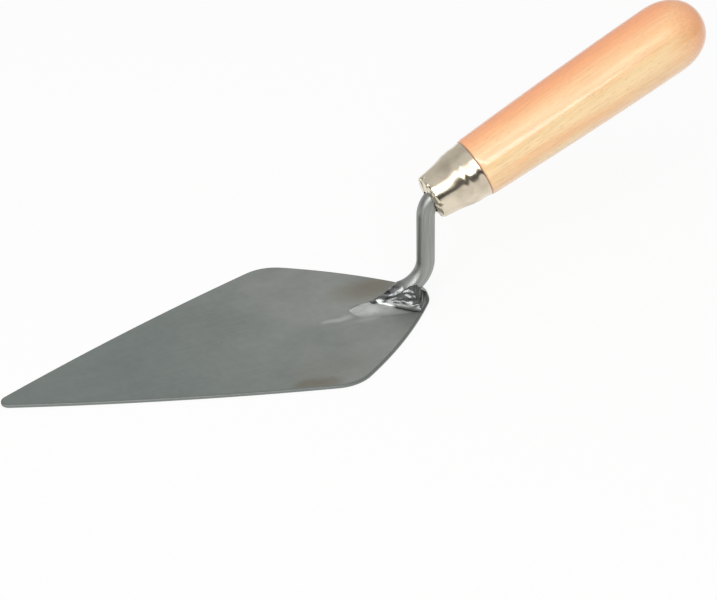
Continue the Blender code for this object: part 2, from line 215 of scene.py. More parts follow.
@named
class WeldSettings(bpy.types.PropertyGroup):
    """The weld metal round the foot: a ground smear in front, a lumpy mound behind, a boss at the heel."""

    smear_run: length("How far the smear reaches in front of the heel", 0.0295)
    smear_half: length("Half width of the smear behind its round front", 0.0072)
    smear_front: length("Length of the smear's round front", 0.0075)
    smear_height: length("Height of the smear at the foot", 0.0015)
    smear_rise: length("Length over which the smear rises", 0.0080)
    smear_round: plain("Exponent of the smear's section: 1 is a parabola", 1.5)
    smear_ripple: plain("How far ripples raise the smear, as a share of its height", 0.15)
    run: length("How far the mound reaches in front of the heel", 0.0208)
    fan: plain("How fast the mound's front widens: half width over length", 0.8)
    flank: length("Width of the mound's sloping side", 0.0020)
    steepness: plain("Exponent of the mound's side: 1 is straight", 1.7)
    height: length("Height of the mound on the smear", 0.0016)
    crown: length("The crown's place, in front of the heel", 0.0085)
    spread: length("Where the weld reaches the heel's edge, in front of the heel", 0.0072)
    inset: length("Rim left between the weld and the heel's edge", 0.0001)
    far_share: plain("Height and width of the far run of weld as a share of the near one", 0.42)
    climb: length("How far the weld climbs the rod above the mound", 0.0034)
    climb_from_heel: length("Where it climbs highest, in front of the heel", 0.0064)
    climb_reach: length("How far along the rod the climb reaches each way", 0.0048)
    climb_fall: length("Distance from the rod over which the climb fades", 0.0023)
    lumps_from: length("Where the lumps begin, in front of the heel", 0.0160)
    lumps_full: length("Where they are at their full height", 0.0138)
    ridge_pitch: length("Distance between the ridges that run along the weld", 0.0019)
    ridge_length: length("Distance between the breaks in a ridge", 0.0036)
    ridge_height: length("How far ridges stand up", 0.0003)
    ridge_slant: plain("How fast a ridge climbs towards the heel", 0.4)
    ridge_bend: length("How far ridges stray from their line", 0.0011)
    break_slant: plain("How far the breaks lean", 0.8)
    break_bend: length("How far breaks stray from their line", 0.0022)
    boss: length("Length of the smooth boss that wraps the heel", 0.0056)
    # Painted shade: the dark line along the toe stands for shade where the weld meets the blade
    toe: length("Width of the sooty line along the weld's toe", 0.0011)
    # Painted shade: this dark line stands for shade in the crease where the mound meets the rod
    crease: length("Width of the sooty line where the mound meets the rod", 0.0006)
    metal: tint("Bright, wire-brushed weld", "#6c6f6e")
    metal_rim: tint("The blade's grey, into which the smear fades", "#a9aca8")
    # Painted shade along the toe and by the rod takes this colour, as do the darker boss and far side
    metal_dark: tint("Weld darkened by heat, round the heel and along the toe", "#2c302f")
    metal_ground: tint("Weld ground bright, round the foot", "#e6e9e5")
    rough: span("Least and most roughness of the lumps", 0.18, 0.32)
    ground_rough: plain("Roughness of the ground smear", 0.40)


@named
class FerruleSettings(bpy.types.PropertyGroup):
    """The thin plated cup round the handle's front, measured along the handle's axis from its mouth."""

    length: length("From the mouth to the wood", 0.0179)
    mouth: length("Outer radius at the mouth", 0.0077)
    taper: plain("Radius that the cone gains over its length", 0.15)
    crease: length("Where the cone meets the straight skirt", 0.0120)
    swell: length("How far the cone swells in front of the skirt", 0.0005)
    swell_from: length("Where the swelling begins", 0.0075)
    swell_to: length("Where the swelling ends", 0.0130)
    flare: length("How far the skirt flares at the wood", 0.0003)
    flare_from: length("Where the flare begins", 0.0155)
    wall: length("Thickness of the sheet", 0.0008)
    mouth_round: length("Rounding where the lip turns in", 0.0012)
    lip_dome: length("How far the lip's inner edge stands forward", 0.0004)
    hole: length("Radius of the hole that the rod passes", 0.0042)
    hole_drop: length("How far the hole lies off the axis, on the side the rod bends to", 0.0012)
    groove_depth: length("Depth of the groove pressed in at the crease", 0.0002)
    groove_width: length("Half width of that groove", 0.0008)
    crimp_depth: length("Depth of the crimp marks round the mouth", 0.0006)
    crimp_reach: length("How far the crimp marks run up the cone", 0.0014)
    crimp_push: plain("How far a crimp pushes the lip back, as a share of its depth", 0.6)
    crimps: partial(IntProperty, description="Crimp marks round the mouth", default=7, min=0)
    wobble: length("How far the pressed sheet waves in and out", 0.00004)
    nickel: tint("Warm nickel plate", "#e3d7c1")
    nickel_dull: tint("Handled, duller plate", "#c9bda9")
    rough: span("Least and most roughness of the plate", 0.15, 0.25)


@named
class HandleSettings(bpy.types.PropertyGroup):
    """The turned wooden handle."""

    angle: turn("How steeply the handle leans up from the blade", 24.3)
    mouth_from_crank: length("The ferrule's mouth, from the neck's axis", 0.0019)
    grip: length("Length of the wood that shows", 0.0924)
    radius: length("Largest radius of the grip", 0.0124)
    end: length("Length of the round end", 0.0156)
    swell: plain("Exponent of the grip's swelling: 1 is a cone", 1.6)
    fullness: plain("Exponent of the round end: 2 is an ellipse", 2.2)
    bore: length("Radius of the tang's bore", 0.0037)
    bore_depth: length("Depth of the tang's bore, from the mouth", 0.0640)
    gap: length("Gap between the spigot and the ferrule", 0.0003)
    joint_gap: length("Gap between the ferrule's end and the wood's shoulder", 0.00006)
    front: length("Radius of the grip's front, behind its rounded edge", 0.01075)
    front_round: length("Length of the rounded edge at the ferrule", 0.0030)
    joint_line: length("Width of the brown line at the ferrule", 0.0003)
    wood_pale: tint("Early wood under lacquer", "#ffdfab")
    wood_mid: tint("Late wood under lacquer", "#ffd59c")
    # The redder side of the wood lies up and to the far side of the handle
    wood_pink: tint("Pinkish clouds and the redder heart side", "#fea56b")
    fleck: tint("Small dark flecks along the grain", "#d79f6f")
    burnish: tint("Brown line where the wood meets the ferrule", "#c08560")
    end_share: plain("How far the round end turns to the pink wood", 0.85)
    rough: plain("Roughness of the wood", 0.42)
    coat_rough: plain("Roughness of the clear lacquer", 0.12)


@named
class StageSettings(bpy.types.PropertyGroup):
    """Floor, light and camera."""

    azimuth: turn("The camera's turn round the trowel", -24.367)
    elevation: turn("The camera's height above the floor", 31.979)
    roll: turn("The camera's tilt about its own axis", -1.004)
    distance: length("From the camera to the middle of the blade, along its view", 0.733978)
    aim_right: length("How far right of the blade's middle the camera aims", 0.044887)
    aim_up: length("How far above the blade's middle the camera aims", 0.015751)
    focal: plain("Focal length in millimetres on a 36 mm wide sensor", 112.38)
    floor_reach: length("Half the floor's side", 60.0)
    floor: tint("Pale floor", "#f6f6f5")
    floor_glow: plain("Share of white that the camera and reflections see in the floor", 0.88)
    key_watts: power("Power of the long soft light in front", 5.0)
    fill_watts: power("Power of the soft light on the left", 4.0)
    key_roll: turn("How far the long light leans, its left end up", -12)
    sky: plain("Brightness of the room above, in front of the trowel", 0.72)
    glow: plain("Brightness of the diffuser round the long light", 1.5)
    horizon: plain("Brightness of the room at floor level, in front of the trowel", 0.06)
    backdrop: plain("Brightness of the room behind the trowel", 0.62)


def fill_mesh(name, points, wrap_rows=False, uv=None, attributes=None):
    """A mesh from an (m, n, 3) grid: quads join neighbours, each row runs round and meets itself.

    With wrap_rows the last row joins the first. Points in the same place are then merged, which closes poles.
    uv is an (m, n + 1, 2) grid, and each attribute an (m, n) grid of numbers.
    """
    m, n = points.shape[:2]
    row = np.arange(m if wrap_rows else m - 1)[:, None]
    col = np.arange(n)[None, :]
    below, beside = (row + 1) % m, (col + 1) % n
    quads = np.stack([row * n + col, row * n + beside, below * n + beside, below * n + col], axis=-1)
    mesh = bpy.data.meshes.new(name)
    mesh.from_pydata(points.reshape(-1, 3).tolist(), [], quads.reshape(-1, 4).tolist())
    for key, values in (attributes or {}).items():
        layer = mesh.attributes.new(key, "FLOAT", "POINT")
        layer.data.foreach_set("value", values.astype(np.float32).ravel())
    if uv is not None:
        corners = np.stack([uv[row, col], uv[row, col + 1], uv[below, col + 1], uv[below, col]], axis=2)
        layer = mesh.uv_layers.new(name="along")
        layer.data.foreach_set("uv", corners.astype(np.float32).ravel())
    shape = bmesh.new()
    shape.from_mesh(mesh)
    bmesh.ops.remove_doubles(shape, verts=shape.verts, dist=MERGE_DISTANCE)
    bmesh.ops.dissolve_degenerate(shape, edges=shape.edges, dist=MERGE_DISTANCE)
    bmesh.ops.recalc_face_normals(shape, faces=shape.faces)
    shape.to_mesh(mesh)
    shape.free()
    return mesh


def add_object(data):
    """Puts a new mesh, light or camera into the scene as an object of the same name."""
    made = bpy.data.objects.new(data.name, data)
    bpy.context.scene.collection.objects.link(made)
    return made


def add_piece(mesh, finish, slot, *nodes, sharp=None):
    """Shows a mesh as a piece in place of frame nodes, with the given finish; the slot is not used."""
    piece = add_object(mesh)
    mesh.materials.append(finish)
    mesh.shade_smooth()
    if sharp:
        mesh.set_sharp_from_angle(angle=sharp)
    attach(piece, "root")
    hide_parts(*nodes)


def full_turn(count):
    """count angles, evenly spaced round a full turn."""
    return np.linspace(0, 2 * math.pi, count, endpoint=False)


def smooth_share(values, start, end):
    """0 before start, 1 after end, 3 t^2 - 2 t^3 between."""
    share = np.clip((values - start) / (end - start), 0, 1)
    return share * share * (3 - 2 * share)


def bell(distance, width):
    """1 at no distance, falling away on both sides as exp(-(distance / width) ** 2)."""
    return np.exp(-((distance / width) ** 2))


def waves(x, y, pitches, seed):
    """Smooth lumps: a sum of sine waves of the given pitches, each in a seeded direction and phase."""
    draw = np.random.default_rng(seed)
    total = np.zeros(np.broadcast(x, y).shape)
    for pitch in pitches:
        heading, phase = draw.uniform(0, 2 * math.pi, 2)
        total += np.sin(2 * math.pi * (x * math.cos(heading) + y * math.sin(heading)) / pitch + phase)
    return total / len(pitches)


def set_inputs(node, inputs):
    """Gives inputs, by name or in the order the node shows them, a value or another node's output."""
    shown = [socket for socket in node.inputs if socket.enabled]
    for key, value in inputs.items() if isinstance(inputs, dict) else enumerate(inputs):
        socket = shown[key] if isinstance(key, int) else node.inputs[key]
        if isinstance(value, bpy.types.NodeSocket):
            node.id_data.links.new(value, socket)
        else:
            socket.default_value = value


def add_node(tree, kind, inputs=(), output=None, **settings):
    """Adds a shader node with its settings and links, and gives back the named or the first output."""
    node = tree.nodes.new("ShaderNode" + kind)
    for key, value in settings.items():
        setattr(node, key, value)
    set_inputs(node, inputs)
    return node.outputs[output] if output else next(socket for socket in node.outputs if socket.enabled)


def blank_material(name):
    """A new material, a function that adds nodes to it, and its shader."""
    made = bpy.data.materials.new(name)
    made.use_nodes = True
    return made, partial(add_node, made.node_tree), made.node_tree.nodes["Principled BSDF"]


def per_mm(size):
    """Noise scale whose features are about size millimetres across, on coordinates in metres."""
    return 1000.0 / size


def bowed_edge_centre(first, first_radius, second, second_radius, radius):
    """The centre of a wide arc that two corner circles touch from inside, on the -Y side of both."""
    reach_a, reach_b = radius - first_radius, radius - second_radius
    apart = np.linalg.norm(second - first)
    along = (reach_a**2 - reach_b**2 + apart**2) / (2 * apart)
    aside = math.sqrt(reach_a**2 - along**2)
    direction = (second - first) / apart
    side = np.array([direction[1], -direction[0]])
    return first + direction * along + side * aside * (1 if side[1] < 0 else -1)


def angle_from(centre, point):
    return math.atan2(point[1] - centre[1], point[0] - centre[0])


def blade_arcs(blade):
    """The five tangent arcs of the blade's +Y edge, tip to heel: centre, radius, start angle, end angle."""
    tip = np.array([BLADE_LOW.x + blade.tip_radius, 0.0])
    shoulder = np.array([0.0, BLADE_HIGH.y - blade.shoulder_radius])
    heel = np.array([BLADE_HIGH.x - blade.heel_radius, 0.0])
    corner = shoulder, blade.shoulder_radius
    long_edge = bowed_edge_centre(tip, blade.tip_radius, *corner, blade.long_edge_radius)
    heel_edge = bowed_edge_centre(*corner, heel, blade.heel_radius, blade.heel_edge_radius)
    turns = [math.pi, angle_from(long_edge, tip), angle_from(long_edge, shoulder)]
    turns += [angle_from(heel_edge, shoulder), angle_from(heel_edge, heel), 0.0]
    centres = [tip, long_edge, shoulder, heel_edge, heel]
    radii = [blade.tip_radius, blade.long_edge_radius, blade.shoulder_radius]
    radii += [blade.heel_edge_radius, blade.heel_radius]
    return list(zip(centres, radii, turns[:-1], turns[1:]))


def blade_edge(blade, inset):
    """Points round the edge, moved in by inset: centre + (radius - inset) * (cos, sin) on each arc."""
    half = []
    for count, (centre, radius, start, end) in zip(BLADE_ARC_POINTS, blade_arcs(blade)):
        angles = np.linspace(start, end, count, endpoint=False)[:, None]
        half.append(centre + (radius - inset) * np.hstack([np.cos(angles), np.sin(angles)]))
    half.append(np.array([[BLADE_HIGH.x - inset, 0.0]]))
    upper = np.vstack(half)
    return np.vstack([upper, upper[-2:0:-1] * [1, -1]])


def heel_half_width(blade, x, inset):
    """Half the blade's width behind the shoulders, to a line that runs inset inside its edge."""
    _, _, _, (edge_centre, edge_radius, _, joint), (heel_centre, heel_radius, _, _) = blade_arcs(blade)
    on_edge = edge_centre[1] + np.sqrt((edge_radius - inset) ** 2 - (x - edge_centre[0]) ** 2)
    on_heel = np.sqrt(np.maximum((heel_radius - inset) ** 2 - (x - heel_centre[0]) ** 2, 0))
    return np.where(x > heel_centre[0] + heel_radius * math.cos(joint), on_heel, on_edge)


def blade_surface(blade):
    """The plate as rows from the under face's middle line, out and round the edge, to the top's middle line.

    A row of the edge has its own inset and height: a quarter circle, the sheared side, a quarter circle and
    the ground band. A row of a face lies between the edge and the middle line. "edge" is 1 on the edge.
    """
    top, low, rounding = BLADE_HIGH.z, BLADE_LOW.z, blade.edge_round
    quarter = np.linspace(0, QUARTER, BLADE_ROUND_POINTS)
    rim = [(rounding * (1 - math.sin(a)), low + rounding * (1 - math.cos(a))) for a in quarter]
    shelf = top - blade.ground_drop - rounding
    rim += [(rounding * (1 - math.cos(a)), shelf + rounding * math.sin(a)) for a in quarter]
    rim += [(blade.ground_width, top), (blade.ground_width + blade.ground_fade, top)]
    rows = []
    for inset, height in rim:
        loop = blade_edge(blade, inset)
        rows.append(np.column_stack([loop, np.full(len(loop), height)]))

    def to_middle(row, shares):
        middle = row * [1, 0, 1]
        return [row + (middle - row) * share for share in shares]

    under = to_middle(rows[0], BLADE_UNDER_SHARES)
    upper = to_middle(rows[-1], np.linspace(0, 1, BLADE_TOP_ROWS)[1:])
    points = np.array(under + rows + upper)
    edge = np.zeros(points.shape[:2])
    edge[len(under) : len(under) + len(rows) - 1] = 1
    return fill_mesh("blade_plate", points, attributes={"edge": edge})


# Length, width and depth of the blade's grinding lines, coarser than real ones so that they show
GRINDING_LINE = (0.045, 0.0007, 0.01)
# The blade's grey turns warmer from the first place to the second, along X
WARMING = -0.060, 0.045
# Where heat and dried oil tint the blade, at the near shoulder's edge and by the weld, and where pale streaks
# lie in front of the weld: the colour's setting, its place and reach in X and Y, and its strength
SPOTS = (
    ("rust_tint", (-0.0130, -0.0335), (0.0075, 0.0042), 0.42),
    ("rust_tint", (-0.0060, -0.0355), (0.0060, 0.0036), 0.35),
    ("heat_tint", (-0.0050, -0.0280), (0.0240, 0.0120), 0.16),
    ("heat_tint", (0.0310, 0.0110), (0.0200, 0.0110), 0.55),
    ("steel_rubbed", (0.0086, -0.0025), (0.0045, 0.0015), 0.6),
    ("steel_rubbed", (0.0118, -0.0034), (0.0045, 0.0016), 0.6),
    ("steel_rubbed", (0.0150, -0.0030), (0.0036, 0.0022), 0.5),
    ("steel_rubbed", (0.0205, -0.0068), (0.0080, 0.0024), 0.3),
)
SPOT_DEPTH = 0.01
# A spot is full inside the first distance from its middle and gone at the second, both with the clouds added
SPOT_FULL, SPOT_GONE = 0.6, 1.5


def blade_finish(blade):
    """Cold-rolled carbon steel sheet, ground, oiled and clear lacquered.

    Satin grey, warmer towards the heel, with soft clouds, faint grinding lines along it and fine grit. Brown
    tint shows where heat and oil dried, pale streaks lie in front of the weld, and the edge is duller.
    """
    made, add, shader = blank_material("ground_carbon_steel_sheet")
    place = add("TexCoord", output="Object")
    heelward = add("SeparateXYZ", [place], output="X")
    warm = add("MapRange", [heelward, *WARMING], **EASED)
    colour = add("Mix", [warm, blade.steel, blade.steel_warm], **COLOURS)
    clouds = add("TexNoise", {"Vector": place, "Scale": per_mm(26), "Detail": 5.0})
    cloudy = add("MapRange", [clouds, 0.42, 0.72, 0.0, 0.55])
    colour = add("Mix", [cloudy, colour, blade.steel_dark], **COLOURS)
    lines_at = add("Mapping", {"Vector": place, "Scale": GRINDING_LINE}, **IN_UNITS)
    lines = add("TexNoise", {"Vector": lines_at, "Scale": 1.0, "Detail": 3.0, "Roughness": 0.6})
    grit = add("TexNoise", {"Vector": place, "Scale": per_mm(2.4), "Detail": 2.0})
    marks = add("Math", [lines, grit], operation="ADD")
    shade = add("MapRange", [marks, 0.75, 1.25, 0.96, 1.04])
    colour = add("Mix", [1.0, colour, shade], blend_type="MULTIPLY", **COLOURS)
    for stain, middle, reach, strength in SPOTS:
        away = add("VectorMath", [place, (*middle, BLADE_HIGH.z)], operation="SUBTRACT")
        away = add("VectorMath", [away, (*reach, SPOT_DEPTH)], operation="DIVIDE")
        away = add("VectorMath", [away], operation="LENGTH")
        ragged = add("Math", [away, clouds], operation="ADD")
        mask = add("MapRange", [ragged, SPOT_GONE, SPOT_FULL, 0.0, strength], **EASED)
        colour = add("Mix", [mask, colour, getattr(blade, stain)], **COLOURS)
    edge = add("Attribute", output="Fac", attribute_name="edge")
    colour = add("Mix", [edge, colour, blade.steel_edge], **COLOURS)
    rough = add("MapRange", [clouds, *NOISE, *blade.rough])
    rough = add("Mix", [edge, rough, blade.edge_rough])
    bump = add("Bump", {"Height": lines, "Strength": 0.05, "Distance": 0.0001})
    set_inputs(shader, {"Base Color": colour, "Metallic": 1.0, "Roughness": rough, "Normal": bump})
    return made


def crank(shank, handle):
    """Where the neck's axis meets the handle's axis, the turn there, and the bend's tangent length."""
    corner = np.array([BLADE_HIGH.x - shank.neck_from_heel, 0.0, shank.neck_rise])
    turned = QUARTER - handle.angle
    return corner, turned, shank.upper_bend * math.tan(turned / 2)


def turned_on_handle(handle, radius, along):
    """Turns grids of radius and of distance from the ferrule's mouth round the handle's axis."""
    around = full_turn(radius.shape[1])
    points = np.stack([radius * np.cos(around), radius * np.sin(around), along], axis=-1)
    corner, turned, _ = crank(bpy.context.scene.trowel_shank, handle)
    lean = np.array(Matrix.Rotation(turned, 3, "Y"))
    axis = lean @ np.array([0.0, 0.0, 1.0])
    return points @ lean.T + corner + axis * handle.mouth_from_crank


def rod_line(shank, handle):
    """The rod's centre line behind the foot, as places and headings: bend, neck, bend, tang, end to end."""
    corner, turned, tangent = crank(shank, handle)
    rise = BLADE_HIGH.z + shank.clearance + shank.diameter / 2
    first, second = np.linspace(0, QUARTER, BEND_ROWS), np.linspace(0, turned, BEND_ROWS)
    pivot = np.array([corner[0] - shank.lower_bend, 0, rise + shank.lower_bend])
    lower = pivot + shank.lower_bend * np.column_stack([np.sin(first), 0 * first, -np.cos(first)])
    pivot = corner + [shank.upper_bend, 0, -tangent]
    upper = pivot + shank.upper_bend * np.column_stack([-np.cos(second), 0 * second, np.sin(second)])
    axis = np.array([math.cos(handle.angle), 0, math.sin(handle.angle)])
    ends = np.cumsum([shank.tang_round, shank.tang_squaring, shank.tang_length])
    tang = corner + axis * (tangent + ends[:, None])
    headings = np.concatenate([first, QUARTER - second, np.full(len(ends), handle.angle)])
    return np.vstack([lower, upper, tang]), headings


def foot_shape(shank, ahead, foot_length, rod_top):
    """Top and half width of the foot at distances in front of the bend.

    The rod thins towards the foot's end as (1 - share) ** thinning and narrows as (1 - share) ** narrowing,
    and both fall to nothing as 1 - share ** 2 at the nose.
    """
    still_round = np.clip(1 - ahead / shank.foot_taper, 0, 1)
    nose = 1 - np.clip((ahead - foot_length + shank.foot_nose) / shank.foot_nose, 0, 1) ** 2
    top = shank.foot_thickness + (rod_top - shank.foot_thickness) * still_round**shank.thinning
    half = shank.foot_half_width + (shank.diameter / 2 - shank.foot_half_width) * still_round**shank.narrowing
    return top * nose, half * nose


def foot_rings(shank, bend_start, around):
    """The foot in front of the bend: half an ellipse on the blade, raised in lumps by smooth waves.

    Its section is half width * cos across and top * sin upwards. It turns into the round rod's section at the
    bend by a smooth step.
    """
    radius, floor = shank.diameter / 2, BLADE_HIGH.z - WELD_SINK
    across, upward = np.cos(around), np.sin(around)
    foot_length = bend_start - FOOT_FRONT
    ahead = foot_length * np.cos(np.linspace(0, QUARTER, FOOT_ROWS, endpoint=False))[:, None] ** 2
    rod_top = BLADE_HIGH.z + shank.clearance + shank.diameter - floor
    top, half = foot_shape(shank, ahead, foot_length, rod_top)
    flattened = smooth_share(ahead, 0, shank.foot_taper / 2)
    x = bend_start - ahead + 0 * around
    y = radius * across + (half - radius) * across * flattened
    rod_z = np.maximum(top - radius + radius * upward, 0)
    z = rod_z + (top * np.maximum(upward, 0) - rod_z) * flattened
    lumps = waves(x, y, *FOOT_WAVES) * smooth_share(ahead, 0, shank.foot_taper / 4)
    z = z * (1 + shank.foot_lumps * lumps / np.maximum(top, EDGE_BREAK))
    return np.stack([x, y, floor + z], axis=-1)


def shank_surface(shank, handle):
    """The foot, then the rod as rings along its centre line, radius * cos across and radius * sin upwards.

    The tang's last two rings are square: 1 / max(|cos|, |sin|) with blunt corners. The map "along" counts
    metres along the rod and round it.
    """
    radius = shank.diameter / 2
    around = full_turn(SHANK_ROUND) + QUARTER
    across, upward = np.cos(around), np.sin(around)
    places, headings = rod_line(shank, handle)
    square = np.minimum(1 / np.maximum(np.abs(across), np.abs(upward)), shank.tang_corner)
    reach = np.full((len(places), SHANK_ROUND), radius)
    reach[-2:] = np.outer([shank.tang_square, shank.tang_point], square)
    up = np.column_stack([-np.sin(headings), 0 * headings, np.cos(headings)])
    rod = places[:, None, :] + (reach * upward)[..., None] * up[:, None, :]
    rod[..., 1] += reach * across
    rings = np.concatenate([foot_rings(shank, places[0, 0], around), rod])
    first, last = [ring.mean(axis=1, keepdims=True) + 0 * ring for ring in (rings[:1], rings[-1:])]
    points = np.concatenate([first, rings, last])
    steps = np.linalg.norm(np.diff(points.mean(axis=1), axis=0), axis=1)
    run = np.concatenate([[0], np.cumsum(steps)])
    girth = np.linspace(0, 2 * math.pi * radius, SHANK_ROUND + 1)
    uv = np.stack(np.meshgrid(run, girth, indexing="ij"), axis=-1)
    return fill_mesh("shank_rod", points, uv=uv)


# Length and width of the lines that drawing leaves along the bar, coarser than real ones so that they show
DRAWN_LINE = (0.018, 0.0006, 1.0)


def shank_finish(shank):
    """Bright drawn steel bar, polished: clear reflections, drawn out by fine lines along the bar.

    The foot is grey and glossier from the weld's heat, with dark patches of soot.
    """
    made, add, shader = blank_material("bright_drawn_steel_bar")
    run = add("UVMap", uv_map="along")
    lines_at = add("Mapping", {"Vector": run, "Scale": DRAWN_LINE}, **IN_UNITS)
    lines = add("TexNoise", {"Vector": lines_at, "Scale": 1.0, "Detail": 3.0})
    streak = add("MapRange", [lines, 0.4, 0.7, 0.0, 0.6])
    bar = add("Mix", [streak, shank.steel, shank.steel_dark], **COLOURS)
    place = add("TexCoord", output="Object")
    spatter = add("TexNoise", {"Vector": place, "Scale": per_mm(2.2), "Detail": 3.0})
    patchy = add("MapRange", [spatter, 0.42, 0.60])
    foot = add("Mix", [patchy, shank.steel_heat, shank.steel_soot], **COLOURS)
    heelward = add("SeparateXYZ", [place], output="X")
    bend_start = BLADE_HIGH.x - shank.neck_from_heel - shank.lower_bend
    cool, hot = bend_start + shank.heat_behind, bend_start - shank.heat_ahead
    heated = add("MapRange", [heelward, cool, hot], **EASED)
    colour = add("Mix", [heated, bar, foot], **COLOURS)
    rough = add("MapRange", [lines, *NOISE, *shank.rough])
    rough = add("Mix", [heated, rough, shank.heat_rough])
    bump = add("Bump", {"Height": lines, "Strength": 0.06, "Distance": 0.0001})
    set_inputs(shader, {"Base Color": colour, "Metallic": 1.0, "Roughness": rough, "Normal": bump})
    return made


def weld_outline(weld, blade):
    """Places along the weld and its half width there: a round front that widens evenly to the heel's edge."""
    front, crown, spread, end = [
        BLADE_HIGH.x - back for back in (weld.smear_run, weld.crown, weld.spread, weld.inset)
    ]
    rear = crown + (end - crown) * np.sin(np.linspace(0, QUARTER, WELD_REAR_ROWS))
    x = np.concatenate([np.linspace(front, crown, WELD_FRONT_ROWS, endpoint=False), rear])
    behind = x - front - weld.smear_front
    toe_line = weld.smear_half * np.sqrt(1 - np.clip(-behind / weld.smear_front, 0, 1) ** 2)
    widening = heel_half_width(blade, np.array(spread), weld.inset) - weld.smear_half
    toe_line = toe_line + widening * np.clip(behind / (spread - front - weld.smear_front), 0, 1)
    half = np.where(x < spread, toe_line, heel_half_width(blade, x, weld.inset))
    return x[:, None], half[:, None]


def weld_smear(weld, x, y, across, half):
    """Height of the smear: smear_height * (1 - (y / half) ** 2) ** smear_round, rippled by smooth waves."""
    front = BLADE_HIGH.x - weld.smear_run
    height = weld.smear_height * smooth_share(x, front, front + weld.smear_rise)
    section = (1 - (across / np.maximum(half, EDGE_BREAK)) ** 2) ** weld.smear_round
    return height * section * (1 + weld.smear_ripple * waves(x, y, *SMEAR_WAVES))


def weld_mound(weld, radius, x, across, side, boss):
    """Height of the mound: 1 - (1 - side) ** steepness up its side, a quarter ellipse behind its crown.

    It climbs the rod by a bell curve along the rod, which fades away from it.
    """
    crown, end = BLADE_HIGH.x - weld.crown, BLADE_HIGH.x - weld.inset
    height = weld.height * np.sqrt(1 - np.clip((x - crown) / (end - crown), 0, 1) ** 2)
    climb = weld.climb * bell(x - BLADE_HIGH.x + weld.climb_from_heel, weld.climb_reach)
    climb = climb * np.exp(-np.maximum(across - radius, 0) / weld.climb_fall)
    climb = climb * (boss + (1 - boss) * smooth_share(across, radius / 3, radius))
    return (height + climb) * (1 - (1 - side) ** weld.steepness)


# The share of a ridge's height that its breaks leave alone
UNBROKEN = 0.6


def weld_ridges(weld, x, up, bend):
    """Broken ridges: a sine of the distance up from the toe times a sine of the place along, both wavy."""
    ridge = np.sin(2 * math.pi * (up - weld.ridge_slant * x + weld.ridge_bend * bend) / weld.ridge_pitch)
    breaks = np.sin(2 * math.pi * (x + weld.break_slant * up + weld.break_bend * bend) / weld.ridge_length)
    return weld.ridge_height * (ridge * (UNBROKEN + (1 - UNBROKEN) * breaks) + bend)


# Where the mound meets the rod, as a share of the rod's radius
CREASE_PLACE = 0.8
# The far side's darkening begins and is full at these shares of the half width
FAR_DARK_FROM, FAR_DARK_FULL = 0.45, 0.9
# Strength of the boss's and far side's darkening and of the ground metal, and how far smooth waves vary it
BOSS_DARK, FAR_DARK, GROUND = (0.92, 0.15), (0.6, 0.3), (0.85, 0.3)


def weld_surface(weld, shank, blade):
    """A smear and a mound added up on one grid inside the weld's outline, flat below.

    The mound has its own fan-shaped edge. Ridges run along it and fade into a smooth boss at the heel. The
    far side is lower and narrower by one share. "lumps" is 1 on the mound. "ground" is high on the smear's
    middle. The dark layer is painted shade along the mound's toe and in the crease beside the rod, and it
    darkens the boss and the smear's far side.
    """
    heel, floor, radius = BLADE_HIGH.x, BLADE_HIGH.z - WELD_SINK, shank.diameter / 2
    around = full_turn(WELD_ROUND)
    x, half = weld_outline(weld, blade)
    across = half * np.abs(np.cos(around))
    x = x + 0 * across
    boss = smooth_share(x, heel - weld.boss, heel - weld.boss / 2)
    lumpy = smooth_share(x, heel - weld.lumps_from, heel - weld.lumps_full)
    far = np.cos(around) > 0
    size = np.where(far, weld.far_share + (1 - weld.far_share) * boss, 1)
    y = half * np.cos(around) * size
    smear = weld_smear(weld, x, y, across, half) * (1 - boss)
    mound_edge = np.minimum(weld.fan * np.maximum(x - heel + weld.run, 0), half)
    side = np.clip((mound_edge - across) / weld.flank, 0, 1)
    mound = weld_mound(weld, radius, x, across, side, boss) * size
    up = mound_edge - across + mound / 2
    bend = waves(x, y, *RIDGE_WAVES)
    raised = weld_ridges(weld, x, up, bend) * lumpy * (1 - boss) * smooth_share(up, 0, 3 * weld.toe)
    z = np.where(np.sin(around) > 0, floor + np.maximum(smear + mound + raised, 0), floor)

    def varied(level, by_waves):
        return level + by_waves * bend

    # Painted shade in the crease by the rod and along the mound's toe; the boss and far side are darker too
    crease_shade = bell(across - CREASE_PLACE * radius, weld.crease) * smooth_share(mound, 0, weld.height / 2)
    far_dark = far * smooth_share(across, FAR_DARK_FROM * half, FAR_DARK_FULL * half) * varied(*FAR_DARK)
    soot = np.maximum(crease_shade, far_dark) * (1 - lumpy)
    soot = np.maximum.reduce([soot, bell(up, weld.toe) * lumpy, boss * varied(*BOSS_DARK)])
    ground = smooth_share(half - across, 0, half / 2 + EDGE_BREAK) * (1 - crease_shade) * varied(*GROUND)
    attributes = {"soot": soot, "ground": ground, "lumps": smooth_share(side, 0, 0.5)}
    return fill_mesh("weld_metal", np.stack([x, y, z], axis=-1), attributes=attributes)


